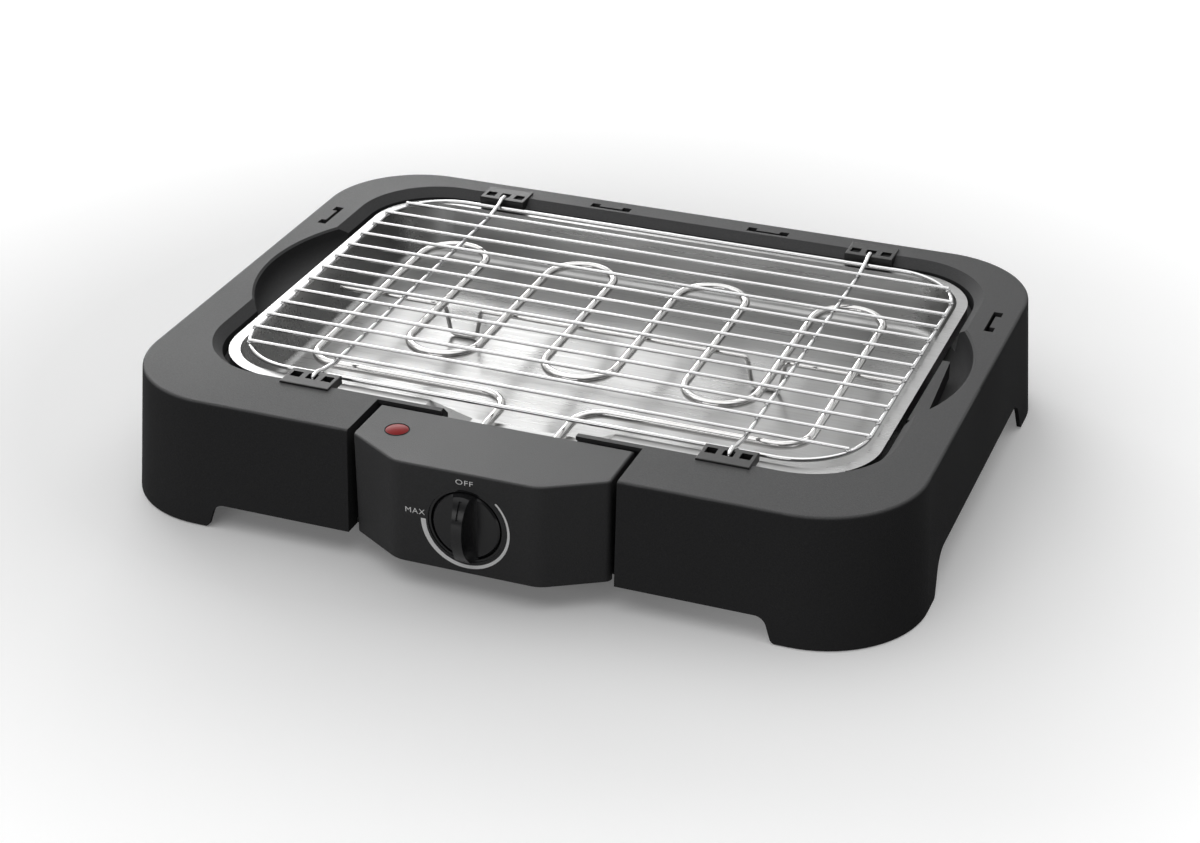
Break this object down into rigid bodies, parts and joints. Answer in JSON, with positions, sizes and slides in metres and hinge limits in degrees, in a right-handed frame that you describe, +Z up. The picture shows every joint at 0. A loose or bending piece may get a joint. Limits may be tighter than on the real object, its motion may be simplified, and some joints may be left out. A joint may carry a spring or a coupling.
{
  "type": "electric table grill",
  "caption": "Table-top electric grill: moulded frame on feet with a steel water tray, a bent heating element on a front control box with a knob, and a hooked wire grate.",
  "frame": {"origin": "on the table, under the middle of the whole object", "axes": "+X to the right as seen from the knob side, -Y to the front with the knob, +Z up"},
  "size_m": [0.5314, 0.4328, 0.0899],
  "materials": {
    "frame_plastic": "fine grained, dark grey",
    "box_plastic": "fine grained, black",
    "knob_plastic": "satin, black",
    "holder_plastic": "satin, black",
    "tray_steel": "bright rolled sheet",
    "element_steel": "drawn steel tube and plate",
    "grate_chrome": "plated wire",
    "fastener_steel": "zinc plated",
    "pad_rubber": "matte",
    "lens_red": "clear red",
    "inner_plastic": "moulded, pale",
    "bush_ceramic": "glazed ceramic",
    "terminal_brass": "plain",
    "lead_brown": "brown sleeve",
    "lead_blue": "blue sleeve",
    "lead_green": "green and yellow sleeve"
  },
  "bodies": {
    "frame": {"frame": "frame_plastic", "foot_pad_front_left": "pad_rubber", "foot_pad_front_right": "pad_rubber", "foot_pad_back_left": "pad_rubber", "foot_pad_back_right": "pad_rubber"},
    "tray": {"water_tray": "tray_steel"},
    "heater": {"control_box_shell": "box_plastic", "control_box_base": "box_plastic", "base_screws": "fastener_steel", "cable_gland": "pad_rubber", "control_box_back": "element_steel", "element_flange": "element_steel", "flange_screws": "fastener_steel", "heating_element": "element_steel", "insulator_left": "bush_ceramic", "insulator_right": "bush_ceramic", "terminal_left": "terminal_brass", "terminal_right": "terminal_brass", "element_support": "element_steel", "dial_ring": "knob_plastic", "thermostat_body": "inner_plastic", "thermostat_screws": "fastener_steel", "lamp_lens": "lens_red", "lamp_holder": "inner_plastic", "terminal_block": "inner_plastic", "clamp_screws": "fastener_steel", "lead_live": "lead_brown", "lead_load": "lead_brown", "lead_neutral": "lead_blue", "lead_earth": "lead_green"},
    "knob": {"control_knob": "knob_plastic", "thermostat_shaft": "fastener_steel"},
    "holders": {"grate_holder_front_left": "holder_plastic", "grate_holder_front_right": "holder_plastic", "grate_holder_back_left": "holder_plastic", "grate_holder_back_right": "holder_plastic"},
    "grate": {"grate_ring": "grate_chrome", "grate_bars": "grate_chrome", "grate_carrier_left": "grate_chrome", "grate_carrier_right": "grate_chrome"}
  },
  "joints": [
    {"name": "tray_lift", "type": "slide", "parent": "frame", "child": "tray", "axis": [0, 0, 1], "range_m": [0, 0.06]},
    {"name": "heater_lift", "type": "slide", "parent": "tray", "child": "heater", "axis": [0, 0, 1], "range_m": [0, 0.08]},
    {"name": "holders_lift", "type": "slide", "parent": "heater", "child": "holders", "axis": [0, 0, 1], "range_m": [0, 0.02]},
    {"name": "grate_lift", "type": "slide", "parent": "holders", "child": "grate", "axis": [0, 0, 1], "range_m": [0, 0.04]},
    {"name": "knob_turn", "type": "hinge", "parent": "heater", "child": "knob", "pos_m": [0, -0.2019, 0.05], "axis": [0, 1, 0], "range_deg": [0, 270]}
  ]
}
